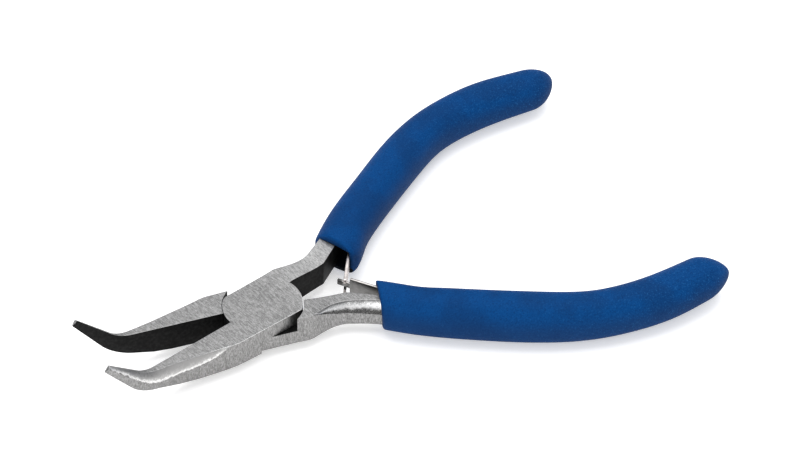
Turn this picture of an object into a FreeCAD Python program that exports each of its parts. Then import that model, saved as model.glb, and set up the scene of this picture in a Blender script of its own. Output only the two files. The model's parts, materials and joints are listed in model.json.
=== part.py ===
"""Bent-nose mini pliers: two lap-jointed levers, a pivot rivet, two interlocking leaf springs and two grips.

Both levers are drawn closed, with the pivot at the origin, the jaws along -X and the handles along +X.
The upper lever owns the upper half of the lap joint, the near jaw (-Y) and the far handle (+Y).
The lower lever is its mirror in Y with the lower half of the lap joint. Each is then swung open.
"""
import FreeCAD
import Part
import math
import os

from FreeCAD import Placement, Rotation, Vector

doc = FreeCAD.newDocument("needle_nose_pliers")

SIZES = {
    # placing: the pivot above the resting plane, and half of the angle the springs hold open
    "pivot_along": -25.02, "pivot_height": 5.06, "half_opening": 10.6,
    # lap joint
    "joint_half_depth": 3.04, "joint_half_width": 5.9, "lap_gap": 0.06, "shoulder_gap": 0.12,
    "upper_nose_radius": 7.24, "lower_nose_radius": 6.8, "plate_corner": 2.6,
    "plate_heel_radius": 7.2, "plate_heel_offset": 0.9,
    # pivot rivet
    "rivet_radius": 2.4, "rivet_head_radius": 3.4, "rivet_head_depth": 0.9, "running_gap": 0.05,
    # jaws: straight taper, then an upward bend, then a straight tip
    "face_gap": 0.1, "bend_start": 25.0, "bend_radius": 6.0, "bend_angle": 41.0, "tip_length": 8.0,
    # handle tangs
    "lower_tang_half_depth": 2.55, "upper_tang_half_depth": 2.75, "tang_inner": 1.35,
    "tang_kink": 16.5, "tang_slope": 26.1, "tang_end_along": 83.0, "tang_end_half": 1.5,
    # leaf springs
    "leaf_thickness": 0.5, "leaf_root_width": 4.4, "leaf_tip_width": 3.3, "leaf_root_along": 15.8,
    "leaf_root_stand": 0.65, "leaf_pad": 2.2, "leaf_hole_radius": 1.15,
    "fork_slot": 1.8, "fork_slot_depth": 2.4, "prong_length": 0.9, "leaf_tip_along": 18.2,
    "tongue_width": 1.2, "tongue_length": 1.5, "tongue_shoulder": 1.0,
    # spring rivets
    "spring_rivet_radius": 0.8, "spring_rivet_head": 1.5, "spring_rivet_depth": 2.2,
    "spring_head_stand": 1.45, "spring_head_thickness": 0.45,
    # room in a grip for its spring
    "channel_half_width": 2.55, "channel_mouth": 4.1, "channel_root": 2.4, "channel_length": 18.8,
}

sheet = doc.addObject("Spreadsheet::Sheet", "Sizes")
for row, (alias, number) in enumerate(SIZES.items(), start=1):
    sheet.set("A%d" % row, alias)
    sheet.set("B%d" % row, str(number))
    sheet.setAlias("B%d" % row, alias)
doc.recompute()


def size(alias):
    """A driving dimension, read back from the sheet."""
    return float(sheet.get(alias))


def bind(obj, **cells):
    """Bind properties of a document object to expressions on the sheet."""
    for name, expression in cells.items():
        obj.setExpression(name, expression)
    return obj


def operation(kind, name, **links):
    """A Part feature such as a cut, fuse or loft, with its links set."""
    obj = doc.addObject("Part::" + kind, name)
    for key, value in links.items():
        setattr(obj, key, value)
    return obj


def shape_feature(name, shape):
    feature = doc.addObject("Part::Feature", name)
    feature.Shape = shape
    return feature


def line(start, end):
    return Part.LineSegment(Vector(*start), Vector(*end)).toShape()


def arc(start, middle, end):
    return Part.Arc(Vector(*start), Vector(*middle), Vector(*end)).toShape()


def polar(centre_along, radius, degrees):
    """A point of the joint's plan, at an angle around a centre on the X axis."""
    angle = math.radians(degrees)
    return centre_along + radius * math.cos(angle), radius * math.sin(angle)


# ---------------------------------------------------------------- lever sections

JAW_ROOT = (
    # along, width at the top, width at the bottom
    (0.0, 5.75, 5.75),
    (9.5, 5.40, 5.05),
    (11.0, 5.05, 4.75),
)
JAW_NOSE = (
    # along, crest, flank, shoulder, width at the bottom, depth
    (11.0, 4.97, 5.05, 0.12, 4.75, 6.08),
    (14.0, 4.10, 4.38, 1.70, 4.02, 6.08),
    (17.5, 3.15, 3.50, 2.45, 3.02, 6.06),
    (21.0, 2.20, 2.72, 2.60, 2.08, 5.75),
    (25.0, 1.30, 2.05, 2.70, 1.30, 4.80),
)
JAW_TIP = (
    # share of the bend, travel past it, crest, flank, shoulder, width at the bottom, depth
    (0.0, 0.0, 1.30, 2.05, 2.70, 1.30, 4.80),
    (0.33, 0.0, 0.95, 1.85, 2.25, 1.20, 4.20),
    (0.67, 0.0, 0.62, 1.65, 1.80, 1.08, 3.65),
    (1.0, 0.0, 0.38, 1.45, 1.45, 0.95, 3.15),
    (1.0, 1.0, 0.25, 0.80, 0.55, 0.35, 1.45),
)
NECK = {
    # along, crest, flank, shoulder; the half depth settles from the joint's to the tang's along the neck
    -1: (
        (8.6, 5.72, 5.80, 0.08),
        (10.9, 4.35, 5.10, 0.90),
        (13.6, 3.55, 4.60, 1.95),
        (16.5, 3.75, 4.95, 2.35),
    ),
    1: (
        (8.6, 5.72, 5.80, 0.08),
        (10.9, 4.45, 5.20, 0.90),
        (13.6, 4.10, 4.95, 1.95),
        (16.5, 4.55, 5.60, 2.35),
    ),
}
THROAT = {
    -1: ((19.2, 4.45, 5.85, 2.5), (21.7, 5.35, 6.95, 2.6)),
    1: ((19.2, 5.50, 6.70, 2.5), (21.7, 6.45, 7.75, 2.6)),
}
ARM_LINE = ((36.0, 12.7), (48.0, 17.0), (62.0, 20.2), (74.0, 19.4))


def station(side, foot, up, inner, crest, flank, shoulder, keel, depth, bulge=0.06):
    """A cross-section: inner face, flat out to the crest, rounded bevel to the flank, side in to the keel.

    With no shoulder depth it is a plain four-sided section.
    """
    foot = Vector(*foot)
    up = Vector(*up)

    def place(lateral, rise):
        return foot + Vector(0, side * lateral, 0) + up * rise

    if not shoulder:
        outline = [place(inner, -depth), place(inner, 0), place(flank, 0), place(keel, -depth)]
        return Part.makePolygon(outline + outline[:1])
    middle = place((crest + flank) / 2 + bulge * shoulder, -shoulder / 2 + bulge * (flank - crest))
    corners = [place(inner, -depth), place(inner, 0), place(crest, 0)]
    edges = [Part.LineSegment(a, b).toShape() for a, b in zip(corners, corners[1:])]
    edges.append(Part.Arc(corners[2], middle, place(flank, -shoulder)).toShape())
    edges.append(Part.LineSegment(place(flank, -shoulder), place(keel, -depth)).toShape())
    edges.append(Part.LineSegment(place(keel, -depth), corners[0]).toShape())
    return Part.Wire(edges)


def loft(name, wires, ruled):
    sections = [shape_feature("%s_section_%d" % (name, n), wire) for n, wire in enumerate(wires)]
    return operation("Loft", name, Sections=sections, Solid=True, Ruled=ruled)


def jaw_block(name, side):
    """The straight jaw from the pivot line to the start of the bend, with its outer bevel."""
    top = size("joint_half_depth")
    face = size("face_gap") / 2
    up = (0, 0, 1)
    root = [station(-side, (-along, 0, top), up, face, 0, width, 0, keel, 2 * top)
            for along, width, keel in JAW_ROOT]
    nose = [station(-side, (-along, 0, top), up, face, crest, flank, shoulder, keel, depth)
            for along, crest, flank, shoulder, keel, depth in JAW_NOSE]
    base = loft(name + "_root", root, True)
    return operation("Fuse", name, Base=base, Tool=loft(name + "_nose", nose, True))


def tip_station(side, turn, travel, outline):
    """A section on the bend, turned up by an angle and then carried along the straight tip."""
    angle = math.radians(turn)
    up = Vector(math.sin(angle), 0, math.cos(angle))
    heading = Vector(-math.cos(angle), 0, math.sin(angle))
    centre = Vector(-size("bend_start"), 0, size("joint_half_depth") + size("bend_radius"))
    foot = centre - up * size("bend_radius") + heading * travel
    crest, flank, shoulder, keel, depth = outline
    return station(-side, foot, up, size("face_gap") / 2, crest, flank, shoulder, keel, depth)


def jaw_tip(name, side):
    """The upward bend and the straight tip after it."""
    wires = [tip_station(side, size("bend_angle") * share, size("tip_length") * travel, outline)
             for share, travel, *outline in JAW_TIP]
    bend = loft(name + "_bend", wires[:-1], False)
    tip = loft(name + "_point", wires[-2:], True)
    return operation("Fuse", name, Base=bend, Tool=tip)


def tang(name, side):
    """The handle: a neck behind the joint, a kink in its inner face, then a taper inside the grip.

    The lower lever's bevel is on top; the upper lever's is underneath.
    """
    top = size("joint_half_depth")
    deep = size("upper_tang_half_depth" if side > 0 else "lower_tang_half_depth")
    kink = size("tang_kink")
    slope = math.tan(math.radians(size("tang_slope")))
    inner = size("tang_inner")

    def section(along, inside, crest, flank, shoulder, half):
        return station(side, (along, 0, -side * half), (0, 0, -side), inside, crest, flank, shoulder,
                       flank, 2 * half, 0.1)

    def face(along):
        return inner + 0.1 + slope * (along - kink)

    heel = [
        section(4.5, 0.9, 0, size("joint_half_width") - 0.05, 0, top),
        section(7.7, inner - 0.05, 0, size("joint_half_width") + 0.1, 0, top),
        section(8.6, inner, 0, 5.8, 0, top),
    ]
    halves = (top, deep + 0.2, deep, deep)
    insides = (inner, inner, inner, face(kink))
    neck = [section(along, inside, crest, flank, shoulder, half)
            for (along, crest, flank, shoulder), inside, half in zip(NECK[side], insides, halves)]
    throat = neck[-1:] + [section(along, face(along), crest, flank, shoulder, deep)
                          for along, crest, flank, shoulder in THROAT[side]]
    mouth = THROAT[side][-1][0]
    end = size("tang_end_along")
    arm = throat[-1:]
    for along, centre in ARM_LINE + ((end, 17.1),):
        share = (along - mouth) / (end - mouth)
        half = 1.75 + share * (size("tang_end_half") - 1.75)
        outer = centre + half
        arm.append(section(along, centre - half, outer - 0.8, outer, 1.2, deep - 0.8 * share))
    return operation("MultiFuse", name, Shapes=[
        loft(name + "_heel", heel, True),
        loft(name + "_neck", neck, False),
        loft(name + "_throat", throat, False),
        loft(name + "_arm", arm, True),
    ])


# ---------------------------------------------------------------- lap joint

def plate_outline(side):
    """The lap plate in plan: rounded nose, clipped outer corner, straight outer edges, rounded heel."""
    nose = size("upper_nose_radius" if side > 0 else "lower_nose_radius")
    heel = size("plate_heel_radius")
    offset = size("plate_heel_offset")
    half = size("joint_half_width")
    heel_edge = math.degrees(math.asin(half / heel))
    heel_top = math.degrees(math.asin(size("tang_inner") / heel))
    corner = (-size("plate_corner"), half)
    clipped = polar(0, nose, 130)
    rounding = ((corner[0] + clipped[0]) / 2 - 0.12, (corner[1] + clipped[1]) / 2 + 0.14)
    points = {
        "outer": (7.0, half),
        "corner": corner,
        "rounding": rounding,
        "clipped": clipped,
        "nose_middle": polar(0, nose, 155),
        "nose_end": polar(0, nose, 180),
        "jaw": (-4.0, -half + 1.0),
        "edge": (0.0, -half + 0.15),
        "heel_edge": polar(offset, heel, -heel_edge),
        "heel_middle": polar(offset, heel, -20),
        "heel_end": polar(offset, heel, heel_top),
    }
    at = {key: (point[0], side * point[1], 0) for key, point in points.items()}
    edges = [
        line(at["outer"], at["corner"]),
        arc(at["corner"], at["rounding"], at["clipped"]),
        arc(at["clipped"], at["nose_middle"], at["nose_end"]),
        line(at["nose_end"], at["jaw"]),
        line(at["jaw"], at["edge"]),
        line(at["edge"], at["heel_edge"]),
        arc(at["heel_edge"], at["heel_middle"], at["heel_end"]),
        line(at["heel_end"], at["outer"]),
    ]
    return Part.Wire(edges)


def lap_plate(name, side):
    """Half of the joint: from just off the lap plane to the outer face of its own layer."""
    outline = shape_feature(name + "_outline", Part.Face(plate_outline(side)))
    plate = operation("Extrusion", name, Base=outline, DirMode="Custom", Dir=Vector(0, 0, side), Solid=True)
    bind(plate, LengthFwd="Sizes.joint_half_depth", LengthRev="-Sizes.lap_gap / 2")
    return plate


def other_layer(name, side):
    """What the other lever's plate sweeps through: cut out of this lever's full-depth jaw and tang."""
    nose = "lower_nose_radius" if side > 0 else "upper_nose_radius"
    foot = "Sizes.lap_gap / 2 - 2 * Sizes.joint_half_depth" if side > 0 else "-Sizes.lap_gap / 2"
    discs = []
    ends = (("nose", nose, "0"), ("heel", "plate_heel_radius", "Sizes.plate_heel_offset"))
    for end, radius, offset in ends:
        disc = doc.addObject("Part::Cylinder", "%s_%s" % (name, end))
        bind(disc, Radius="Sizes.%s + Sizes.shoulder_gap" % radius, Height="2 * Sizes.joint_half_depth")
        bind(disc, **{".Placement.Base.x": offset, ".Placement.Base.z": foot})
        discs.append(disc)
    return operation("Fuse", name, Base=discs[0], Tool=discs[1])


def rivet_form(name, clearance):
    """The rivet's shank and its two countersunk, flush-ground heads, with an optional clearance."""
    shank = doc.addObject("Part::Cylinder", name + "_shank")
    bind(shank, Radius="Sizes.rivet_radius + %s" % clearance, Height="2 * Sizes.joint_half_depth")
    bind(shank, **{".Placement.Base.z": "-Sizes.joint_half_depth"})
    parts = [shank]
    for end, small, large, foot in (("lower", 2, 1, "-Sizes.joint_half_depth"),
                                    ("upper", 1, 2, "Sizes.joint_half_depth - Sizes.rivet_head_depth")):
        head = doc.addObject("Part::Cone", "%s_%s_head" % (name, end))
        narrow, wide = "Radius%d" % small, "Radius%d" % large
        bind(head, Height="Sizes.rivet_head_depth")
        bind(head, **{narrow: "Sizes.rivet_radius + %s" % clearance})
        bind(head, **{wide: "Sizes.rivet_head_radius + %s" % clearance})
        bind(head, **{".Placement.Base.z": foot})
        parts.append(head)
    return operation("MultiFuse", name, Shapes=parts)


def spring_hole(name, side):
    """The hole in the tang for the rivet that holds the leaf spring."""
    hole = doc.addObject("Part::Cylinder", name)
    bind(hole, Radius="Sizes.spring_rivet_radius", Height="Sizes.spring_rivet_depth")
    hole.Placement = spring_seat(side)
    return hole


def lever(name, side):
    plain = operation("MultiFuse", name + "_plain", Shapes=[
        jaw_block(name + "_jaw", side), jaw_tip(name + "_tip", side), tang(name + "_tang", side)])
    stepped = operation("Cut", name + "_stepped", Base=plain, Tool=other_layer(name + "_layer", side))
    whole = operation("MultiFuse", name + "_whole", Shapes=[stepped, lap_plate(name + "_plate", side)])
    clearance = "0" if side > 0 else "Sizes.running_gap"
    bored = operation("Cut", name + "_bored", Base=whole, Tool=rivet_form(name + "_bore", clearance))
    return operation("Cut", name, Base=bored, Tool=spring_hole(name + "_spring_hole", side))


# ---------------------------------------------------------------- leaf springs

def face_frame(side):
    """Origin and directions of a tang's inner face: along the handle, and inwards off the face."""
    slope = math.radians(size("tang_slope"))
    origin = Vector(size("tang_kink"), side * (size("tang_inner") + 0.1), 0)
    along = Vector(math.cos(slope), side * math.sin(slope), 0)
    inward = Vector(math.sin(slope), -side * math.cos(slope), 0)
    return origin, along, inward


def leaf_root(side):
    """The middle of the leaf's root pad, which is also where it starts to bend."""
    origin, along, inward = face_frame(side)
    return origin + along * size("leaf_root_along") + inward * size("leaf_root_stand")


def spring_seat(side):
    """Placement of the spring rivet: local Z points into the tang from its inner face."""
    origin, along, inward = face_frame(side)
    seat = origin + along * size("leaf_root_along")
    return Placement(seat, Rotation(Vector(0, 0, 1), inward * -1))


def leaf(name, side, forked):
    """A spring leaf drawn flat, bent at its root and standing between its root and the meeting point."""
    root = leaf_root(side)
    opening = math.radians(size("half_opening"))
    distance = size("leaf_tip_along")
    meet = Vector(distance * math.cos(opening), -side * distance * math.sin(opening), 0)
    run = meet - root
    length = run.Length
    across = Vector(0, 0, 1)
    heading = run * (1 / length)
    normal = across.cross(heading)
    half = size("leaf_thickness") / 2
    root_half = size("leaf_root_width") / 2
    tip_half = size("leaf_tip_width") / 2
    reach = length + size("tongue_length")
    slot = size("fork_slot") / 2
    tongue = size("tongue_width") / 2

    def corner(travel, rise):
        return root + heading * travel + across * rise - normal * half

    start = size("leaf_hole_radius") + 0.2
    outline = [(start, -root_half), (length * 0.35, -root_half)]
    if forked:
        prong = length + size("prong_length")
        crotch = length - size("fork_slot_depth")
        outline += [(prong, -tip_half), (prong, -slot), (crotch, -slot)]
        outline += [(crotch, slot), (prong, slot), (prong, tip_half)]
    else:
        shoulder = length - size("tongue_shoulder")
        outline += [(shoulder, -tip_half), (shoulder, -tongue), (reach, -tongue)]
        outline += [(reach, tongue), (shoulder, tongue), (shoulder, tip_half)]
    outline += [(length * 0.35, root_half), (start, root_half)]
    wire = Part.makePolygon([corner(*point) for point in outline + outline[:1]])
    blade = shape_feature(name + "_blade", Part.Face(wire).extrude(normal * (2 * half)))
    pad = root_pad(name + "_pad", side)
    return operation("Fuse", name, Base=blade, Tool=pad)


def root_pad(name, side):
    """The flat end of a leaf, round in outline, with a hole that clears the spring rivet."""
    pad_turn = 6.3
    origin, along, inward = face_frame(side)
    turn = Rotation(Vector(0, 0, 1), side * pad_turn)
    lift = turn.multVec(inward)
    half = size("leaf_thickness") / 2
    foot = leaf_root(side) - lift * half
    seat = Placement(foot, Rotation(Vector(0, 0, 1), lift))
    disc = doc.addObject("Part::Cylinder", name + "_disc")
    bind(disc, Radius="Sizes.leaf_root_width / 2", Height="Sizes.leaf_thickness")
    disc.Placement = seat
    hole = doc.addObject("Part::Cylinder", name + "_hole")
    bind(hole, Radius="Sizes.leaf_hole_radius", Height="Sizes.leaf_thickness")
    hole.Placement = seat
    return operation("Cut", name, Base=disc, Tool=hole)


def spring_rivet(name, side):
    """A headed rivet from inside the tang, through the leaf's pad, to a domed head clear of the pad."""
    seat = spring_seat(side)
    stand = size("spring_head_stand") + size("spring_head_thickness")
    shank = doc.addObject("Part::Cylinder", name + "_shank")
    bind(shank, Radius="Sizes.spring_rivet_radius")
    bind(shank, Height="Sizes.spring_rivet_depth + Sizes.spring_head_stand + Sizes.spring_head_thickness")
    shank.Placement = seat.multiply(Placement(Vector(0, 0, -stand), Rotation()))
    head = doc.addObject("Part::Cone", name + "_head")
    bind(head, Radius1="Sizes.spring_rivet_head * 0.7", Radius2="Sizes.spring_rivet_head")
    bind(head, Height="Sizes.spring_head_thickness")
    head.Placement = seat.multiply(Placement(Vector(0, 0, -stand), Rotation()))
    return operation("Fuse", name, Base=shank, Tool=head)


# ---------------------------------------------------------------- grips

GRIP_MOUTH = {
    1: ((21.95, 4.80, 4.75, 4.65), (28.0, 7.75, 4.5, 4.8)),
    -1: ((22.2, 4.35, 4.2, 4.5), (28.0, 7.6, 4.3, 4.75)),
}
GRIP_LINE = (
    # along, across, half width, half height of the rounded sections from the mouth to the butt
    (39.0, 12.6, 4.5, 5.0),
    (50.0, 17.0, 4.55, 5.05),
    (61.0, 19.85, 4.3, 4.9),
    (70.0, 19.9, 4.55, 4.7),
    (78.5, 18.4, 4.6, 4.5),
    (85.5, 16.6, 4.0, 4.0),
    (88.2, 15.85, 2.9, 2.9),
    (89.6, 15.45, 1.2, 1.2),
)
BUTT = 6


def oval(centre, tangent, half_width, half_height):
    """A closed oval across a path; its first axis lies in the plan."""
    circle = Part.Wire(Part.Circle(Vector(), Vector(0, 0, 1), 1).toShape())
    stretch = FreeCAD.Matrix()
    stretch.scale(half_width, half_height, 1)
    wire = circle.transformGeometry(stretch)
    sideways = Vector(0, 0, 1).cross(tangent)
    wire.Placement = Placement(centre, Rotation(sideways, Vector(0, 0, 1), tangent, "ZXY"))
    return wire


def grip_skin(name, side):
    stations = GRIP_MOUTH[side] + GRIP_LINE
    points = [Vector(along, side * across, 0) for along, across, _, _ in stations]
    wires = []
    for n, (_, _, half_width, half_height) in enumerate(stations):
        before = points[max(n - 1, 0)]
        after = points[min(n + 1, len(points) - 1)]
        tangent = (after - before).normalize()
        wires.append(oval(points[n], tangent, half_width, half_height))
    sleeve = loft(name + "_sleeve", wires[:BUTT + 1], False)
    butt = loft(name + "_butt", wires[BUTT:], True)
    return operation("Fuse", name, Base=sleeve, Tool=butt)


def spring_channel(name, side):
    """The space the leaf needs between the tang's inner face and the grip, open at the mouth."""
    origin, along, inward = face_frame(side)
    half = size("channel_half_width")
    end = size("channel_length")
    outline = [(3.5, -0.3), (3.5, size("channel_mouth")), (size("leaf_root_along"), size("channel_root"))]
    outline += [(end, size("channel_root")), (end, -0.3)]
    corners = [origin + along * travel + inward * stand - Vector(0, 0, half) for travel, stand in outline]
    face = Part.Face(Part.makePolygon(corners + corners[:1]))
    return shape_feature(name, face.extrude(Vector(0, 0, 2 * half)))


def grip(name, side, lever_name):
    hollow = operation("MultiFuse", name + "_hollow", Shapes=[
        doc.getObject(lever_name + "_tang"), spring_channel(name + "_channel", side)])
    return operation("Cut", name, Base=grip_skin(name + "_skin", side), Tool=hollow)


# ---------------------------------------------------------------- assembly

UPPER, LOWER = 1, -1
NODES = {
    "upper_lever": (lever("upper_lever", UPPER), UPPER),
    "lower_lever": (lever("lower_lever", LOWER), LOWER),
    "pivot_rivet": (rivet_form("pivot_rivet", "0"), UPPER),
    "fork_leaf_spring": (leaf("fork_leaf_spring", UPPER, True), UPPER),
    "tongue_leaf_spring": (leaf("tongue_leaf_spring", LOWER, False), LOWER),
    "fork_spring_rivet": (spring_rivet("fork_spring_rivet", UPPER), UPPER),
    "tongue_spring_rivet": (spring_rivet("tongue_spring_rivet", LOWER), LOWER),
    "far_handle_grip": (grip("far_handle_grip", UPPER, "upper_lever"), UPPER),
    "near_handle_grip": (grip("near_handle_grip", LOWER, "lower_lever"), LOWER),
}

for node, (piece, turn) in NODES.items():
    piece.Label = node
    piece.Placement = Placement(Vector(), Rotation(Vector(0, 0, 1), turn * size("half_opening")))
    bind(piece, **{".Placement.Base.x": "Sizes.pivot_along", ".Placement.Base.z": "Sizes.pivot_height"})
doc.recompute()

for item in doc.Objects:
    if "Invalid" in item.State or "Error" in item.State:
        raise RuntimeError("%s failed: %s" % (item.Name, item.State))

os.makedirs("parts", exist_ok=True)
for node, (piece, _) in NODES.items():
    if piece.Shape.isNull() or not piece.Shape.isValid() or not piece.Shape.Solids:
        raise RuntimeError("%s has no valid solid" % node)
    piece.Shape.exportStep("parts/%s.step" % node)
    print(node, len(piece.Shape.Solids), round(piece.Shape.Volume, 1), piece.Shape.BoundBox)
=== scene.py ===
"""Looks of the bent-nose mini pliers, in metres, in the CAD frame."""
import json
import math

import bmesh
import bpy
import numpy as np
from mathutils import Matrix, Vector


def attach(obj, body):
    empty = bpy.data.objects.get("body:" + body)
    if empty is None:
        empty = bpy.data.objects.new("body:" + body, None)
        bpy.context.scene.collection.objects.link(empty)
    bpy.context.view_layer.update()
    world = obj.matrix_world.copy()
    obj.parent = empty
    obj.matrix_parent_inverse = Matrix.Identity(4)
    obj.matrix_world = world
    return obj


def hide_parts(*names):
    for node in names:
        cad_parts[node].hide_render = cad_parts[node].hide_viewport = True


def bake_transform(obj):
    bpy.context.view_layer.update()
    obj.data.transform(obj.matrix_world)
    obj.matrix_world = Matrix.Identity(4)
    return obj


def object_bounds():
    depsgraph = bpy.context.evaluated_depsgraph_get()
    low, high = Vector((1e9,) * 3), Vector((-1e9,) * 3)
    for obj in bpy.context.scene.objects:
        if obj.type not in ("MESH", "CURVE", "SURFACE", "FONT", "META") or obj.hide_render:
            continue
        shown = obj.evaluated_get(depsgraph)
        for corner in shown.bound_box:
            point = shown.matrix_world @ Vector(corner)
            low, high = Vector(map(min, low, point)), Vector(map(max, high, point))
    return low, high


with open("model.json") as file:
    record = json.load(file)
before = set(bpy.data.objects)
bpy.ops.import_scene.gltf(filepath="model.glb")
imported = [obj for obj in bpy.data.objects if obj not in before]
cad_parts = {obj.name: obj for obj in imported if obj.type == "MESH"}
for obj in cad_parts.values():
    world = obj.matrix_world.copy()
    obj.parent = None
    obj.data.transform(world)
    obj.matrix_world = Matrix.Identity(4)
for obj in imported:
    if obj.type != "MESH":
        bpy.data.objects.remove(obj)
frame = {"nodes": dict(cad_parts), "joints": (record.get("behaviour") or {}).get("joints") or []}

cad_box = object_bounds()
MM = 0.001
UPPER, LOWER = 1, -1
HINGE = next(joint for joint in frame["joints"] if joint["name"] == "handle_squeeze")
PIVOT = Vector(HINGE["pos_m"])
# Each lever turns by this much from closed to rest.
HALF_OPENING = math.radians(10.6)
# The inner face of a closed tang: its slope, and the point in mm from the pivot where it starts.
FACE_SLOPE = math.radians(26.1)
FACE_KINK = (16.5, 1.45)


# ---------------------------------------------------------------- places

def closed_to_rest(side):
    """From a lever's closed, pivot-centred millimetres (handle at +Y) to the model's frame at rest."""
    mirror = Matrix.Diagonal((1, side, 1, 1))
    turn = Matrix.Rotation(side * HALF_OPENING, 4, "Z")
    return Matrix.Translation(PIVOT) @ turn @ mirror @ Matrix.Scale(MM, 4)


def on_face(travel, stand, height=0.0):
    """A point beside a tang's inner face, in closed millimetres.

    travel runs along the face from its kink, and stand goes off it towards the other handle.
    """
    x = FACE_KINK[0] + travel * math.cos(FACE_SLOPE) + stand * math.sin(FACE_SLOPE)
    y = FACE_KINK[1] + travel * math.sin(FACE_SLOPE) - stand * math.cos(FACE_SLOPE)
    return Vector((x, y, height))


def spline(knots, values, at):
    """A natural cubic through (knots, values), read at the given places."""
    knots = np.asarray(knots, float)
    values = np.asarray(values, float)
    gaps = np.diff(knots)
    count = len(knots)
    system = np.eye(count)
    bend = np.zeros(count)
    for n in range(1, count - 1):
        system[n, n - 1:n + 2] = gaps[n - 1], 2 * (gaps[n - 1] + gaps[n]), gaps[n]
        bend[n] = 6 * ((values[n + 1] - values[n]) / gaps[n] - (values[n] - values[n - 1]) / gaps[n - 1])
    curve = np.linalg.solve(system, bend)
    span = np.clip(np.searchsorted(knots, at, side="right") - 1, 0, count - 2)
    gap = gaps[span]
    left = (knots[span + 1] - at) / gap
    right = (at - knots[span]) / gap
    smooth = ((left ** 3 - left) * curve[span] + (right ** 3 - right) * curve[span + 1]) * gap ** 2 / 6
    return left * values[span] + right * values[span + 1] + smooth


# ---------------------------------------------------------------- node helpers

class Nodes:
    """A small writer of shader nodes."""

    def __init__(self, name):
        self.material = bpy.data.materials.new(name)
        self.material.use_nodes = True
        self.tree = self.material.node_tree
        self.tree.nodes.clear()
        self.shader = self.add("ShaderNodeBsdfPrincipled")
        output = self.add("ShaderNodeOutputMaterial")
        self.join(self.shader.outputs["BSDF"], output.inputs["Surface"])

    def add(self, kind, **settings):
        node = self.tree.nodes.new(kind)
        for key, value in settings.items():
            setattr(node, key, value)
        return node

    def join(self, source, target):
        self.tree.links.new(source, target)

    def feed(self, socket, value):
        """A socket takes either a link or a plain value."""
        if isinstance(value, bpy.types.NodeSocket):
            self.join(value, socket)
        else:
            socket.default_value = value

    def math(self, operation, *values, clamp=False):
        node = self.add("ShaderNodeMath", operation=operation, use_clamp=clamp)
        for socket, value in zip(node.inputs, values):
            self.feed(socket, value)
        return node.outputs[0]

    def between(self, value, low, high, start=0.0, end=1.0):
        """value mapped smoothly from low..high to start..end."""
        node = self.add("ShaderNodeMapRange", interpolation_type="SMOOTHSTEP")
        for socket, item in zip(node.inputs, (value, low, high, start, end)):
            self.feed(socket, item)
        return node.outputs[0]

    def mix(self, share, first, second):
        node = self.add("ShaderNodeMix", data_type="RGBA")
        self.feed(node.inputs[0], share)
        self.feed(node.inputs[6], first)
        self.feed(node.inputs[7], second)
        return node.outputs[2]

    def noise(self, vector, scale, detail, roughness):
        node = self.add("ShaderNodeTexNoise")
        self.feed(node.inputs["Vector"], vector)
        node.inputs["Scale"].default_value = scale
        node.inputs["Detail"].default_value = detail
        node.inputs["Roughness"].default_value = roughness
        return node.outputs["Fac"]

    def stretched(self, vector, turn, scale):
        node = self.add("ShaderNodeMapping", vector_type="TEXTURE")
        self.feed(node.inputs["Vector"], vector)
        node.inputs["Rotation"].default_value = turn
        node.inputs["Scale"].default_value = scale
        return node.outputs["Vector"]

    def blend(self, share, first, second):
        node = self.add("ShaderNodeMix", data_type="FLOAT")
        self.feed(node.inputs[0], share)
        self.feed(node.inputs[2], first)
        self.feed(node.inputs[3], second)
        return node.outputs[0]

    def curve(self, value, points):
        """A height in metres read off points given in mm."""
        low, high = points[0][0], points[-1][0]
        floor_height, span = -1.0, 12.0
        past_low = self.math("SUBTRACT", value, low * MM)
        share = self.math("DIVIDE", past_low, (high - low) * MM, clamp=True)
        node = self.add("ShaderNodeFloatCurve")
        self.feed(node.inputs["Value"], share)
        line = node.mapping.curves[0]
        ends = [((x - low) / (high - low), (y - floor_height) / span) for x, y in points]
        line.points[0].location = ends[0]
        line.points[1].location = ends[-1]
        for place in ends[1:-1]:
            line.points.new(*place)
        for point in line.points:
            point.handle_type = "VECTOR"
        node.mapping.update()
        rise = self.math("MULTIPLY", node.outputs["Value"], span * MM)
        return self.math("ADD", rise, floor_height * MM)

    def ramp(self, value, stops, reach):
        """Grey levels at distances given in mm."""
        node = self.add("ShaderNodeValToRGB")
        self.feed(node.inputs["Fac"], self.math("DIVIDE", value, reach))
        elements = node.color_ramp.elements
        while len(elements) > 1:
            elements.remove(elements[-1])
        for n, (distance, level) in enumerate(stops):
            element = elements[0] if n == 0 else elements.new(distance * MM / reach)
            element.position = distance * MM / reach
            element.color = grey(level)
        return node.outputs["Color"]

    def bump(self, height, distance, strength, normal=None):
        node = self.add("ShaderNodeBump")
        self.feed(node.inputs["Distance"], distance)
        node.inputs["Strength"].default_value = strength
        self.feed(node.inputs["Height"], height)
        if normal is not None:
            self.feed(node.inputs["Normal"], normal)
        return node.outputs["Normal"]


def grey(level):
    """A very slightly warm grey."""
    return (level, 0.99 * level, 0.978 * level, 1.0)


# ---------------------------------------------------------------- metal

# Height of the crease between a lever's rounded bevel and its ground side, along the closed lever (mm).
CREASE = (
    (-36.0, 9.9), (-35.3, 9.34), (-29.9, 3.42), (-28.6, 2.12), (-26.9, 1.02), (-25.0, 0.34), (-21.0, 0.44),
    (-17.5, 0.59), (-14.0, 1.34), (-11.0, 2.92), (-10.0, 3.4), (8.0, 3.4), (8.6, 2.96), (10.9, 1.85),
    (13.6, 0.6), (16.5, 0.2), (19.2, 0.05), (22.0, -0.05),
)
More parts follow.
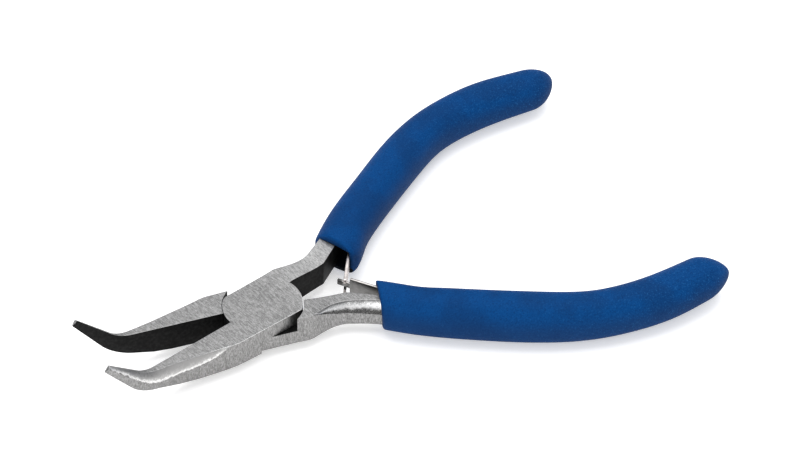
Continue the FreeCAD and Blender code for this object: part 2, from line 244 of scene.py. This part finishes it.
# Painted highlights and painted dark reflections up the bevel: grey levels at distances from the crease
# (mm), and the distance that both cover.
JAW_PAINTED_SHEEN = (
    (0.0, 0.12), (0.15, 0.3), (0.32, 0.8), (0.55, 0.68), (0.8, 0.4), (1.2, 0.31), (1.7, 0.26), (2.6, 0.26),
)
TANG_PAINTED_SHEEN = (
    (0.0, 0.03), (0.82, 0.05), (1.1, 0.4), (1.4, 0.85), (1.8, 0.75), (2.1, 0.42), (2.35, 0.12), (2.6, 0.28),
)
PAINTED_SHEEN_REACH = 3.0
# Where the jaw ends and the tang starts, along the closed lever, with the lap joint between them (mm).
JAW_END, TANG_START = -7.2, 7.0
# The recess round the lap joint, painted black as shade: its radius, and half of its height (mm).
RECESS_RADIUS, RECESS_HALF = 8.6, 1.2
# Top of the bevel above the mid-plane, the least height of a bevel, and the height TANG_PAINTED_SHEEN is for
# (mm).
BEVEL_TOP, BEVEL_LEAST, BEVEL_FULL = 2.6, 0.3, 2.5
# Rounded edges, which also carry a painted highlight: width of the rounding, and the distances from the
# rivet over which it sets in (mm).
EDGE_ROUND_WIDTH, EDGE_ROUND_INSIDE, EDGE_ROUND_OUTSIDE = 0.17, 4.0, 4.4
# The upper lever's jaw edge with a stronger painted highlight: how far out it starts, and where it sets in
# (mm).
JAW_HIGHLIGHT_LATERAL, JAW_HIGHLIGHT_FROM, JAW_HIGHLIGHT_TO = -2.2, -17.0, -12.5


class LeverPlace:
    """Where a point of a lever is when closed, in metres from the pivot, and which way its face looks."""

    def __init__(self, m, side):
        coords = m.add("ShaderNodeTexCoord")
        turned = []
        for output in ("Object", "Normal"):
            turn = m.add("ShaderNodeVectorRotate", rotation_type="Z_AXIS")
            m.join(coords.outputs[output], turn.inputs["Vector"])
            if output == "Object":
                turn.inputs["Center"].default_value = PIVOT
            turn.inputs["Angle"].default_value = -side * HALF_OPENING
            split = m.add("ShaderNodeSeparateXYZ")
            m.join(turn.outputs["Vector"], split.inputs["Vector"])
            turned.append(split.outputs)
        place, normal = turned
        self.side = side
        self.where = coords.outputs["Object"]
        self.along = m.math("SUBTRACT", place["X"], PIVOT.x)
        self.lateral = m.math("MULTIPLY", place["Y"], float(side))
        self.height = m.math("SUBTRACT", place["Z"], PIVOT.z)
        self.across = m.math("MULTIPLY", normal["Y"], float(side))
        self.rise = m.math("ABSOLUTE", normal["Z"])
        squares = [m.math("MULTIPLY", value, value) for value in (self.along, self.lateral)]
        self.radius = m.math("POWER", m.math("ADD", *squares), 0.5)
        self.in_jaw = m.math("LESS_THAN", self.along, JAW_END * MM)
        self.in_handle = m.math("GREATER_THAN", self.along, TANG_START * MM)


def ground_faces(m, at):
    """Masks of the faces that are ground: those that look outwards, and the level ones."""
    in_joint = m.math("SUBTRACT", 1.0, m.math("ADD", at.in_jaw, at.in_handle))
    outward = m.math("MULTIPLY", at.across, m.math("SUBTRACT", at.in_handle, at.in_jaw))
    flats = m.math("MULTIPLY", m.between(m.math("ABSOLUTE", at.across), 0.72, 0.95), in_joint)
    outer = m.math("MAXIMUM", m.between(outward, 0.3, 0.45), flats)
    # Painted shade: level faces in the lap joint's recess are kept out of the ground faces, so they take the
    # black scale's colour.
    recess = m.math("MULTIPLY", m.math("LESS_THAN", at.radius, RECESS_RADIUS * MM),
                    m.math("LESS_THAN", m.math("ABSOLUTE", at.height), RECESS_HALF * MM))
    level = m.math("MULTIPLY", m.between(at.rise, 0.42, 0.56), m.math("SUBTRACT", 1.0, recess))
    return outer, level


def bevel_places(m, at):
    """Distance above the crease in metres: as it is, and as if every bevel had its full height.

    The upper lever has its tang's bevel underneath, so there the height counts downwards.
    """
    up = 1.0 if at.side < 0 else m.math("SUBTRACT", 1.0, m.math("MULTIPLY", at.in_handle, 2.0))
    crease = m.curve(at.along, CREASE)
    above = m.math("SUBTRACT", m.math("MULTIPLY", at.height, up), crease)
    bevel_height = m.math("MAXIMUM", m.math("SUBTRACT", BEVEL_TOP * MM, crease), BEVEL_LEAST * MM)
    return above, m.math("MULTIPLY", m.math("DIVIDE", above, bevel_height), BEVEL_FULL * MM)


def bevel_band(m, at, above, outer):
    """Mask of the bevel: outer faces above the crease that are not level."""
    past_crease = m.between(above, -0.02 * MM, 0.04 * MM)
    not_level = m.math("SUBTRACT", 1.0, m.between(at.rise, 0.93, 0.97))
    return m.math("MULTIPLY", m.math("MULTIPLY", outer, past_crease), not_level)


def lever_noises(m, where):
    """Fine, mottled and broad noise, and the grain that belt grinding leaves."""
    fine = m.noise(where, 4600.0, 4.0, 0.7)
    mottled = m.noise(where, 1500.0, 5.0, 0.65)
    broad = m.noise(where, 260.0, 3.0, 0.5)
    brushed = m.noise(m.stretched(where, (0, 0, 0.2), (1, 6, 4)), 5200.0, 3.0, 0.65)
    grain = m.math("ADD", m.math("MULTIPLY", fine, 0.45), m.math("MULTIPLY", brushed, 0.55))
    return fine, mottled, broad, grain


def ground_colour(m, at, grain, mottled):
    """Ground steel; on the upper lever it is painted paler towards the tang, as painted light."""
    light = m.between(grain, 0.38, 0.62)
    steel = m.mix(light, grey(0.145), grey(0.375))
    steel = m.mix(m.between(mottled, 0.42, 0.62, 0.0, 0.3), steel, grey(0.18))
    # Painted light: the upper lever's steel gets lighter towards its tang.
    if at.side > 0:
        painted_light_steel = m.mix(light, grey(0.23), grey(0.48))
        steel = m.mix(m.between(at.along, 3.0 * MM, 13.0 * MM), steel, painted_light_steel)
    return steel


def painted_bevel_sheen(m, at, above, up_bevel, fine, mottled, steel):
    """Painted highlights and painted dark reflections in bands along the bevel, with wandering edges;
    towards the joint they fade into the ground steel.
    """
    wander = m.math("MULTIPLY", m.math("SUBTRACT", mottled, 0.5), 1.5 * MM)
    wander = m.math("ADD", wander, m.math("MULTIPLY", m.math("SUBTRACT", fine, 0.5), 1.3 * MM))
    jaw_place = m.math("ADD", above, wander)
    tang_place = m.math("ADD", up_bevel, m.math("MULTIPLY", wander, 0.7))
    jaw_painted_sheen = m.ramp(jaw_place, JAW_PAINTED_SHEEN, PAINTED_SHEEN_REACH * MM)
    tang_painted_sheen = m.ramp(tang_place, TANG_PAINTED_SHEEN, PAINTED_SHEEN_REACH * MM)
    painted_sheen = m.mix(at.in_handle, jaw_painted_sheen, tang_painted_sheen)
    painted_sheen = m.mix(m.between(fine, 0.42, 0.65, 0.0, 0.4), painted_sheen, grey(0.25))
    before_tang = m.math("SUBTRACT", 1.0, at.in_handle)
    return m.mix(m.between(at.along, -14.5 * MM, -10.0 * MM, 0.0, before_tang), painted_sheen, steel)


def rounded_edges_and_highlights(m, at):
    """A normal that is rounded at the edges, and how strongly each edge gets a painted highlight."""
    edge = m.add("ShaderNodeBevel", samples=6)
    width = m.between(at.radius, EDGE_ROUND_INSIDE * MM, EDGE_ROUND_OUTSIDE * MM, 0.0, EDGE_ROUND_WIDTH * MM)
    m.feed(edge.inputs["Radius"], width)
    turned = m.add("ShaderNodeVectorMath", operation="DOT_PRODUCT")
    m.join(edge.outputs["Normal"], turned.inputs[0])
    m.join(m.add("ShaderNodeNewGeometry").outputs["Normal"], turned.inputs[1])
    wear_and_highlight = m.between(turned.outputs["Value"], 0.995, 0.95, 0.0, 0.25)
    # Painted highlight: the near edge of the upper lever's jaw gets a four times stronger one.
    if at.side > 0:
        near_edge_highlight = m.math("MULTIPLY", m.math("LESS_THAN", at.lateral, JAW_HIGHLIGHT_LATERAL * MM),
                           m.between(at.along, JAW_HIGHLIGHT_FROM * MM, JAW_HIGHLIGHT_TO * MM))
        wear_and_highlight = m.math("MULTIPLY", wear_and_highlight, m.math("ADD", m.math("MULTIPLY", near_edge_highlight, 3.0), 1.0))
    return edge.outputs["Normal"], wear_and_highlight


def lever_steel(name, side):
    """Belt-ground outer faces, a smoother rounded bevel with painted highlights and painted dark
    reflections, painted highlights on the edges, and black scale on all faces that look inwards.
    """
    m = Nodes(name)
    at = LeverPlace(m, side)
    outer, level = ground_faces(m, at)
    ground = m.math("MAXIMUM", outer, level)
    above, up_bevel = bevel_places(m, at)
    band = bevel_band(m, at, above, outer)
    fine, mottled, broad, grain = lever_noises(m, at.where)
    steel = ground_colour(m, at, grain, mottled)
    # Painted sheen: the bevel's highlights and dark reflections are painted into its colour.
    painted_sheen = painted_bevel_sheen(m, at, above, up_bevel, fine, mottled, steel)
    scale = m.mix(m.between(mottled, 0.4, 0.65), grey(0.001), grey(0.009))
    rounded, wear_and_highlight = rounded_edges_and_highlights(m, at)
    # Painted highlight: level faces turn nearly white at their rounded edges; elsewhere the bevel takes its
    # painted sheen.
    surface = m.mix(m.math("MULTIPLY", wear_and_highlight, level), m.mix(band, steel, painted_sheen), grey(0.95))
    m.feed(m.shader.inputs["Base Color"], m.mix(ground, scale, surface))
    m.feed(m.shader.inputs["Metallic"], ground)
    m.shader.inputs["Specular IOR Level"].default_value = 0.1
    rough_steel = m.between(grain, 0.2, 0.8, 0.4, 0.52)
    rough_outer = m.math("SUBTRACT", rough_steel, m.math("MULTIPLY", band, 0.16))
    rough = m.blend(ground, m.between(broad, 0.3, 0.7, 0.45, 0.6), rough_outer)
    m.feed(m.shader.inputs["Roughness"], rough)
    dents = m.bump(mottled, m.math("MULTIPLY", band, 0.12 * MM), 0.8, rounded)
    m.feed(m.shader.inputs["Normal"], m.bump(grain, 0.03 * MM, 0.7, dents))
    return m.material


def spring_steel(name, tint, shade, painted_shade_point):
    """Rolled strip with faint lines along its length, and painted shade round one point."""
    m = Nodes(name)
    where = m.add("ShaderNodeTexCoord").outputs["Object"]
    lines = m.noise(m.stretched(where, (0, 0, 0), (6, 6, 1)), 3800.0, 3.0, 0.6)
    cloud = m.noise(where, 700.0, 3.0, 0.5)
    darker, full = (tuple(share * c for c in tint) + (1,) for share in (0.75, 1.0))
    colour = m.mix(m.between(lines, 0.3, 0.7), darker, full)
    colour = m.mix(m.between(cloud, 0.4, 0.8, 0.0, 0.5), colour, grey(shade))
    gap = m.add("ShaderNodeVectorMath", operation="DISTANCE")
    m.join(where, gap.inputs[0])
    gap.inputs[1].default_value = painted_shade_point
    # Painted shade: the strip turns nearly black within about a millimetre of the given point.
    away = m.between(gap.outputs["Value"], 0.9 * MM, 1.5 * MM)
    m.feed(m.shader.inputs["Base Color"], m.mix(away, grey(0.07), colour))
    m.shader.inputs["Metallic"].default_value = 1.0
    m.feed(m.shader.inputs["Roughness"], m.between(lines, 0.2, 0.8, 0.3, 0.42))
    m.feed(m.shader.inputs["Normal"], m.bump(lines, 0.01 * MM, 0.4))
    return m.material


# ---------------------------------------------------------------- grips

# Painted light on the sleeves: BLUE_LIT_TOP for faces that look up, BLUE_SHADED_SIDE for the sides.
BLUE_SHADED_SIDE, BLUE_LIT_TOP = (0.0036, 0.033, 0.118, 1), (0.0012, 0.046, 0.175, 1)
BLUE_SMUDGE, BLUE_PIT_SHADE = (0.0035, 0.024, 0.088, 1), (0.002, 0.020, 0.078, 1)
BLUE_SPECK = (0.016, 0.105, 0.28, 1)
# Where along the model, in metres, the specks on the grips begin to gather, and where they are strongest.
SPECKS_FROM, SPECKS_TO = 0.005, 0.055


def grip_foam(name):
    """Matte blue sleeve with a fine stipple, painted lighter on top and darker on the sides and in the
    stipple's pits; small light specks gather towards the butt.
    """
    m = Nodes(name)
    coords = m.add("ShaderNodeTexCoord")
    where = coords.outputs["Object"]
    place = m.add("ShaderNodeSeparateXYZ")
    m.join(where, place.inputs["Vector"])
    normal = m.add("ShaderNodeSeparateXYZ")
    m.join(coords.outputs["Normal"], normal.inputs["Vector"])
    broad = m.noise(where, 110.0, 2.0, 0.5)
    stipple = m.noise(where, 3400.0, 3.0, 0.7)
    pores = m.add("ShaderNodeTexVoronoi", feature="F1")
    m.join(where, pores.inputs["Vector"])
    pores.inputs["Scale"].default_value = 1500.0
    # Painted light: faces that look up are lighter and greener than the sides.
    blue = m.mix(m.between(normal.outputs["Z"], -0.1, 0.7), BLUE_SHADED_SIDE, BLUE_LIT_TOP)
    blue = m.mix(m.between(broad, 0.42, 0.62, 0.0, 0.4), blue, BLUE_SMUDGE)
    # Painted shade: the stipple's low spots, which are the bump's pits, are darker.
    blue = m.mix(m.between(stipple, 0.5, 0.34, 0.0, 0.55), blue, BLUE_PIT_SHADE)
    wear_and_highlight = m.between(place.outputs["X"], SPECKS_FROM, SPECKS_TO, 0.2, 0.75)
    speck = m.math("MULTIPLY", m.between(stipple, 0.55, 0.7), wear_and_highlight)
    blue = m.mix(speck, blue, BLUE_SPECK)
    m.feed(m.shader.inputs["Base Color"], blue)
    m.feed(m.shader.inputs["Roughness"], m.between(stipple, 0.3, 0.7, 0.66, 0.52))
    m.shader.inputs["Specular IOR Level"].default_value = 0.04
    pore_height = m.math("MULTIPLY", pores.outputs["Distance"], 0.3)
    height = m.math("ADD", m.math("MULTIPLY", stipple, 0.7), pore_height)
    m.feed(m.shader.inputs["Normal"], m.bump(height, 0.12 * MM, 0.45))
    return m.material


def painted_mouth_shade(name):
    """Painted shade: a dull, nearly black material for the inside of a sleeve's mouth, where shade falls."""
    m = Nodes(name)
    where = m.add("ShaderNodeTexCoord").outputs["Object"]
    shade_noise = m.noise(where, 900.0, 3.0, 0.6)
    m.feed(m.shader.inputs["Base Color"], m.mix(shade_noise, (0.001, 0.002, 0.004, 1), (0.004, 0.005, 0.008, 1)))
    m.shader.inputs["Roughness"].default_value = 0.8
    m.shader.inputs["Specular IOR Level"].default_value = 0.05
    return m.material


# Along, across, half width and half height of a sleeve, closed, from its mouth to where its butt ends.
GRIP_MOUTH = {
    UPPER: ((22.12, 4.48, 4.60, 4.60), (27.88, 7.82, 4.60, 4.75)),
    LOWER: ((22.27, 4.22, 4.30, 4.55), (28.0, 7.6, 4.35, 4.75)),
}
GRIP_LINE = (
    (38.9, 12.7, 4.5, 4.9),
    (50.0, 17.1, 4.55, 4.9),
    (60.0, 19.75, 4.3, 4.75),
    (66.0, 20.05, 4.4, 4.62),
    (74.4, 19.25, 4.6, 4.42),
    (83.0, 17.1, 4.35, 4.15),
)
GRIP_END = {UPPER: (90.2, 15.2, 4.1, 4.0), LOWER: (88.7, 15.65, 4.1, 4.0)}
# How far the rim is set along the tang: in the middle, per mm towards the other handle, per mm of height,
# and per mm of depth below LOWER_PART. It counts at the mouth and fades out by MOUTH_FADE along the sleeve.
MOUTH_CUT = {UPPER: (-0.9, -0.31, -0.07, 0.2), LOWER: (-0.15, -0.38, -0.07, 0.0)}
LOWER_PART, MOUTH_FADE = 1.6, 9.0
# The hole in the mouth: inner side, outer side, half height.
MOUTH_HOLE = {UPPER: (3.55, -3.45, 2.85), LOWER: (3.45, -2.7, 2.7)}
# Shape of a sleeve's section (1 is an ellipse, 0 a rectangle) and of its hole (0 an ellipse, 1 a rectangle).
SECTION_POWER, HOLE_POWER = 0.93, 0.86
# Where each sleeve's inner side stops when the handles are closed, so that the mouths just miss each other,
# and how gently it gets there.
CLOSED_LIMIT = {UPPER: -0.25, LOWER: 0.33}
LIMIT_SOFTNESS = 0.2
GRIP_RINGS, GRIP_SIDES, BUTT_RINGS = 150, 96, 22
# Rings up the hole's wall and over the rim: travel from the mouth, and share of the way to that wall.
HOLLOW = ((9.0, 1.0), (4.0, 1.0), (0.8, 1.0), (0.2, 0.99))
RIM = ((0.02, 0.93), (0.0, 0.75), (0.03, 0.5), (0.12, 0.28), (0.28, 0.13), (0.5, 0.05), (0.8, 0.01))
BARREL_START = 1.2
# The lip low on the upper sleeve's mouth that is painted dark as shade: its share of the way round, and its
# rings of the rim.
SHADED_LIP, SHADED_LIP_RINGS = (0.54, 0.93), 3
# The butt: its length, how round its end is (1 is an ellipse), the power that shapes the rest of it,
# the size of its last ring, and how far its end leans outwards.
BUTT_LENGTH = 6.2
BUTT_ROUND = {UPPER: 0.84, LOWER: 0.62}
BUTT_POWER, BUTT_POINT, BUTT_LEAN = 1.7, 0.015, 1.0
# The inner side's swell (+) or waist (-): how much, where along the sleeve, and over what length.
INNER_SWELL = {UPPER: (0.55, 1.5, 3.2), LOWER: (-0.42, 7.5, 3.6)}


class Sleeve:
    """The line that a grip follows, with its half sizes."""

    def __init__(self, side):
        self.side = side
        line = np.array(GRIP_MOUTH[side] + GRIP_LINE + (GRIP_END[side],))
        steps = np.hypot(*np.diff(line[:, :2], axis=0).T)
        self.run = np.concatenate(([0.0], np.cumsum(steps)))
        self.line = line
        self.length = self.run[-1]

    def at(self, travel):
        """Centre, tangent, direction towards the other handle, half width and half height."""
        step = 0.05
        near = np.clip([travel, travel + step, travel - step], 0, self.length)
        x, y = (spline(self.run, self.line[:, axis], near) for axis in (0, 1))
        half_width, half_height = (spline(self.run, self.line[:, axis], near[:1])[0] for axis in (2, 3))
        tangent = Vector((x[1] - x[2], y[1] - y[2], 0)).normalized()
        return Vector((x[0], y[0], 0)), tangent, Vector((tangent.y, -tangent.x, 0)), half_width, half_height

    def ring(self, travel, inset=0.0, shrink=1.0, lean=0.0):
        """One ring of the sleeve; inset runs from 0 on the outside to 1 on the hole's wall."""
        centre, tangent, inward, half_width, half_height = self.at(travel)
        middle, per_inward, per_height, per_depth = MOUTH_CUT[self.side]
        fade = max(0.0, 1 - travel / MOUTH_FADE) ** 2
        inner, outer, hole_half = MOUTH_HOLE[self.side]
        swell_size, swell_at, swell_reach = INNER_SWELL[self.side]
        swell = swell_size * math.exp(-((travel - swell_at) / swell_reach) ** 2)
        limit = CLOSED_LIMIT[self.side]
        points = []
        for n in range(GRIP_SIDES):
            angle = 2 * math.pi * n / GRIP_SIDES
            across, up = math.cos(angle), math.sin(angle)
            lateral = math.copysign(abs(across) ** SECTION_POWER, across) * half_width * shrink - lean
            height = math.copysign(abs(up) ** SECTION_POWER, up) * half_height * shrink
            lateral += max(0.0, across) * swell
            square = max(abs(across), abs(up)) ** HOLE_POWER
            hole_lateral = (inner + outer) / 2 + (inner - outer) / 2 * across / square
            hole_height = hole_half * up / square
            lateral += inset * (hole_lateral - lateral)
            height += inset * (hole_height - height)
            lower = per_depth * max(0.0, -height - LOWER_PART)
            back = fade * (middle + per_inward * lateral + per_height * height + lower)
            point = centre + inward * lateral + tangent * back + Vector((0, 0, height))
            room = point.y - limit
            point.y = limit + (room + math.hypot(room, LIMIT_SOFTNESS)) / 2
            points.append(point)
        return points


def grip_mesh(name, side, foam, mouth_shade):
    """The sleeve: a hollow mouth with a soft rim, a long curved barrel and a blunt bullet-shaped butt."""
    sleeve = Sleeve(side)
    rings = [sleeve.ring(travel, inset) for travel, inset in HOLLOW + RIM]
    barrel = np.linspace(BARREL_START, sleeve.length - BUTT_LENGTH, GRIP_RINGS)
    rings += [sleeve.ring(travel) for travel in barrel]
    for turn in np.linspace(0, math.pi / 2, BUTT_RINGS)[1:]:
        share = math.sin(turn)
        blunt = (1 - BUTT_ROUND[side]) * (1 - share ** BUTT_POWER)
        shrink = max(BUTT_POINT, BUTT_ROUND[side] * math.cos(turn) + blunt)
        travel = sleeve.length - BUTT_LENGTH * (1 - share)
        rings.append(sleeve.ring(travel, 0.0, shrink, BUTT_LEAN * share ** 2))
    piece = skin_rings(name, rings, side)
    piece.data.materials.append(foam)
    piece.data.materials.append(mouth_shade)
    # Painted shade: the hollow's walls, its floor and the low lip of the upper mouth take the nearly black
    # shade material.
    for polygon in piece.data.polygons:
        row, place = divmod(polygon.index, GRIP_SIDES)
        low_side = SHADED_LIP[0] < place / GRIP_SIDES < SHADED_LIP[1]
        shaded_lip = side == UPPER and low_side and row < len(HOLLOW) + SHADED_LIP_RINGS
        floor_of_mouth = polygon.index == GRIP_SIDES * (len(rings) - 1)
        polygon.material_index = 1 if row < len(HOLLOW) - 1 or shaded_lip or floor_of_mouth else 0
    return piece


def skin_rings(name, rings, side):
    """A closed skin over rings of points, capped at both ends."""
    mesh = bmesh.new()
    rows = [[mesh.verts.new(point) for point in ring] for ring in rings]
    for row, after in zip(rows, rows[1:]):
        for n in range(len(row)):
            following = (n + 1) % len(row)
            mesh.faces.new((row[n], row[following], after[following], after[n]))
    mesh.faces.new(rows[0])
    mesh.faces.new(rows[-1])
    mesh.transform(closed_to_rest(side))
    bmesh.ops.recalc_face_normals(mesh, faces=mesh.faces)
    return finish_mesh(name, mesh)


def finish_mesh(name, mesh):
    """A smooth-shaded object made from a bmesh."""
    data = bpy.data.meshes.new(name)
    mesh.to_mesh(data)
    mesh.free()
    for polygon in data.polygons:
        polygon.use_smooth = True
    piece = bpy.data.objects.new(name, data)
    bpy.context.collection.objects.link(piece)
    return piece


# ---------------------------------------------------------------- leaf springs

# Both leaves (mm). Travel runs along the tang's inner face and stand goes off it, as in on_face.
LEAF = {
    "half_thickness": 0.25, "face_gap": 0.02, "root": 15.8, "pad": 2.2, "bend_start": 14.2,
    "tip_travel": -0.86, "tip_stand": 4.92, "rise_at_start": 0.32, "rise_at_tip": 0.34,
    "root_half": 2.2, "tip_half": 1.8, "slot_half": 0.9, "tongue_half": 0.6,
    "slot_depth": 2.4, "shoulder_depth": 1.0, "prong_length": 0.9, "tongue_length": 1.5,
}


def leaf_line(travel):
    """How far the leaf stands off the tang's face: flat on it at the rivet, then curving away to the tip."""
    start, end = LEAF["bend_start"], LEAF["tip_travel"]
    low, high = LEAF["half_thickness"] + LEAF["face_gap"], LEAF["tip_stand"]
    if travel >= start:
        return low
    span = start - end
    part = (start - travel) / span
    rise_start, rise_end = LEAF["rise_at_start"] * span, LEAF["rise_at_tip"] * span
    if part > 1:
        return high + (part - 1) * rise_end
    square, cube = part ** 2, part ** 3
    flat = (2 * cube - 3 * square + 1) * low + (cube - 2 * square + part) * rise_start
    return flat + (3 * square - 2 * cube) * high + (cube - square) * rise_end


def leaf_half(travel):
    """Half of the leaf's width: a round root end, then a slow taper to the tip."""
    back = LEAF["root"] + LEAF["pad"] - travel
    taper = max(0.0, min(1.0, (LEAF["root"] - travel) / (LEAF["root"] - LEAF["tip_travel"])))
    half = LEAF["root_half"] + (LEAF["tip_half"] - LEAF["root_half"]) * taper
    if back < LEAF["pad"]:
        half *= math.sqrt(max(0.04, 1 - (1 - back / LEAF["pad"]) ** 2))
    return half


def leaf_mesh(name, side, forked):
    """The leaf's middle surface in three strips; the fork ends in the outer two, the tongue in the other."""
    tip = LEAF["tip_travel"]
    end = tip - LEAF["prong_length" if forked else "tongue_length"]
    cut = tip + LEAF["slot_depth" if forked else "shoulder_depth"]
    inner = LEAF["slot_half" if forked else "tongue_half"]
    travels = list(np.linspace(LEAF["root"] + LEAF["pad"], cut, 44)) + list(np.linspace(cut, end, 9)[1:])
    mesh = bmesh.new()
    rows = []
    for travel in travels:
        half = leaf_half(travel)
        middle = min(inner, half * 0.6)
        heights = (-half, -middle, middle, half)
        rows.append([mesh.verts.new(on_face(travel, leaf_line(travel), height)) for height in heights])
    for travel, row, after in zip(travels, rows, rows[1:]):
        beyond = travel <= cut + 1e-6
        for strip in range(3):
            kept = not beyond or (strip != 1 if forked else strip == 1)
            if kept:
                mesh.faces.new((row[strip], row[strip + 1], after[strip + 1], after[strip]))
    loose = [vertex for vertex in mesh.verts if not vertex.link_faces]
    bmesh.ops.delete(mesh, geom=loose, context="VERTS")
    mesh.transform(closed_to_rest(side))
    return finish_mesh(name, mesh)


def thicken(piece, thickness, rounding):
    """Solid from a mid-surface, with slightly rounded edges; both modifiers are applied."""
    solid = piece.modifiers.new("solid", "SOLIDIFY")
    solid.thickness = thickness
    solid.offset = 0.0
    solid.use_even_offset = True
    solid.material_offset_rim = 1
    bevel = piece.modifiers.new("bevel", "BEVEL")
    bevel.width = rounding
    bevel.segments = 2
    bevel.limit_method = "ANGLE"
    bevel.angle_limit = math.radians(40)
    bpy.context.view_layer.update()
    evaluated = piece.evaluated_get(bpy.context.evaluated_depsgraph_get())
    data = bpy.data.meshes.new_from_object(evaluated)
    piece.modifiers.clear()
    piece.data = data


# ---------------------------------------------------------------- stage

def floor():
    """A wide, pale, matte floor that glows a little, so that the shadows stay faint."""
    m = Nodes("floor_paper")
    coords = m.add("ShaderNodeTexCoord")
    cloud = m.noise(coords.outputs["Object"], 3.0, 2.0, 0.5)
    m.feed(m.shader.inputs["Base Color"], m.mix(cloud, grey(0.90), grey(0.93)))
    m.shader.inputs["Roughness"].default_value = 0.9
    m.shader.inputs["Emission Color"].default_value = (1, 1, 1, 1)
    m.shader.inputs["Emission Strength"].default_value = 0.35
    bpy.ops.mesh.primitive_plane_add(size=6)
    plane = bpy.context.object
    plane.name = "floor"
    plane.location.z = cad_box[0][2]
    plane.data.materials.append(m.material)


def softbox(name, place, width, height, power):
    """A rectangular light that faces the middle of the model."""
    light = bpy.data.lights.new(name, "AREA")
    light.shape = "RECTANGLE"
    light.size = width
    light.size_y = height
    light.energy = power
    lamp = bpy.data.objects.new(name, light)
    lamp.location = place
    lamp.rotation_euler = (-Vector(place)).to_track_quat("-Z", "Y").to_euler()
    bpy.context.collection.objects.link(lamp)


def studio():
    """A pale surround, a large light overhead and a small one in front on the left."""
    world = bpy.data.worlds.new("studio")
    bpy.context.scene.world = world
    world.use_nodes = True
    background = world.node_tree.nodes["Background"]
    background.inputs["Color"].default_value = (0.95, 0.97, 1.0, 1)
    background.inputs["Strength"].default_value = 0.75
    softbox("overhead", (0.05, 0.15, 0.75), width=0.9, height=0.7, power=5.0)
    softbox("front_left", (-0.55, -0.45, 0.45), width=0.35, height=0.35, power=1.6)
    bpy.context.scene.view_settings.view_transform = "Standard"


def camera():
    """The camera looks down on the open pliers from the front left, which is the nose's side."""
    azimuth, elevation, roll = math.radians(-31.6), math.radians(42.58), math.radians(1.653)
    distance = 0.51795
    target = PIVOT + Vector((35.016, 7.927, 0)) * MM
    forward = Vector((-math.sin(azimuth) * math.cos(elevation), math.cos(azimuth) * math.cos(elevation),
                      -math.sin(elevation)))
    level = Vector((math.cos(azimuth), math.sin(azimuth), 0))
    raised = level.cross(forward)
    right = level * math.cos(roll) + raised * math.sin(roll)
    up = raised * math.cos(roll) - level * math.sin(roll)
    data = bpy.data.cameras.new("camera")
    data.lens = 119.46
    data.sensor_width = 36
    data.clip_start = 0.01
    view = bpy.data.objects.new("camera", data)
    axes = Matrix((right, up, -forward)).transposed().to_4x4()
    view.matrix_world = Matrix.Translation(target - forward * distance) @ axes
    bpy.context.collection.objects.link(view)
    bpy.context.scene.camera = view


# ---------------------------------------------------------------- assembly

def repaint(node, material):
    """Give a CAD node one material."""
    slots = frame["nodes"][node].data.materials
    slots.clear()
    slots.append(material)


def replace_node(piece, body, node):
    """A visible piece that stands in for a CAD node and rides on its body."""
    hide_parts(node)
    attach(piece, body)


def build():
    """Paint the metal nodes, then put the sleeves and the leaves in their nodes' places."""
    repaint("upper_lever", lever_steel("upper_lever_steel", UPPER))
    repaint("lower_lever", lever_steel("lower_lever_steel", LOWER))
    repaint("pivot_rivet", lever_steel("rivet_steel", UPPER))
    # Points round which the leaves get painted shade: the tongue's end and the fork's lower prong.
    tongue_end = LEAF["tip_travel"] - LEAF["tongue_length"]
    tongue_tip = closed_to_rest(LOWER) @ on_face(tongue_end, leaf_line(tongue_end))
    prong = closed_to_rest(UPPER) @ on_face(LEAF["tip_travel"] + 0.2, LEAF["tip_stand"], -1.4)
    # Lit and shaded copies of one spring steel: the tongue leaf's faces painted dark as shade, its edges and
    # the rivets lighter, and the fork leaf palest, painted as lit.
    bright = spring_steel("leaf_edge_steel", (0.6, 0.57, 0.55), 0.4, tongue_tip)
    pale = spring_steel("fork_leaf_steel", (0.75, 0.68, 0.65), 0.5, prong)
    shaded_leaf_face = spring_steel("leaf_face_steel", (0.28, 0.275, 0.27), 0.13, tongue_tip)
    for node in ("fork_spring_rivet", "tongue_spring_rivet"):
        repaint(node, bright)
    foam, mouth_shade = grip_foam("grip_foam"), painted_mouth_shade("painted_mouth_shade")
    for name, side, body, node in (("far_grip_sleeve", UPPER, "upper_body", "far_handle_grip"),
                                   ("near_grip_sleeve", LOWER, "lower_body", "near_handle_grip")):
        replace_node(grip_mesh(name, side, foam, mouth_shade), body, node)
    for name, side, forked, body, face in (("fork_leaf", UPPER, True, "upper_body", pale),
                                           ("tongue_leaf", LOWER, False, "lower_body", shaded_leaf_face)):
        piece = leaf_mesh(name + "_strip", side, forked)
        piece.data.materials.append(face)
        piece.data.materials.append(pale if forked else bright)
        thicken(piece, 2 * LEAF["half_thickness"] * MM, 0.07 * MM)
        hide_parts(name + "_spring")
        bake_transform(piece)


floor()
studio()
camera()
build()
